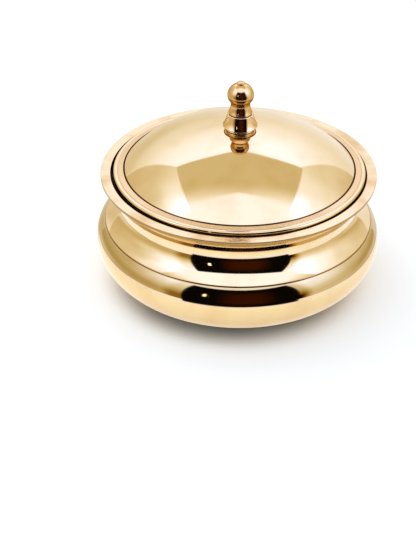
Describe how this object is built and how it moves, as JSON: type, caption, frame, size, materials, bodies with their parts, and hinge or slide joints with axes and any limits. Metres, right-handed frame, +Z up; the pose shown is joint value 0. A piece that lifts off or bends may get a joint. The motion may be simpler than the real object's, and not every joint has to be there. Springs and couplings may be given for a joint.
{
  "type": "lidded serving bowl",
  "caption": "Round brass serving bowl with a rolled-in neck, flared rim and a domed drop-in lid lifted by a turned knob.",
  "frame": {"origin": "centre of the flat base, on the plane that the bowl stands on", "axes": "+Z up along the bowl's axis, -Y towards the viewer"},
  "size_m": [0.156, 0.156, 0.1169],
  "materials": {
    "bowl_brass": "polished",
    "neck_brass": "polished, with a finely turned rim",
    "lid_brass": "polished",
    "knob_brass": "polished",
    "fixing_steel": "plated"
  },
  "bodies": {
    "bowl": {"bowl_lower_shell": "bowl_brass", "bowl_upper_shell": "neck_brass"},
    "lid": {"lid_shell": "lid_brass", "knob_collar": "knob_brass", "knob_finial": "knob_brass", "knob_screw": "fixing_steel", "knob_washer": "fixing_steel"}
  },
  "joints": [
    {"name": "lid_lift", "type": "slide", "parent": "bowl", "child": "lid", "axis": [0, 0, 1], "range_m": [0, 0.09]}
  ]
}
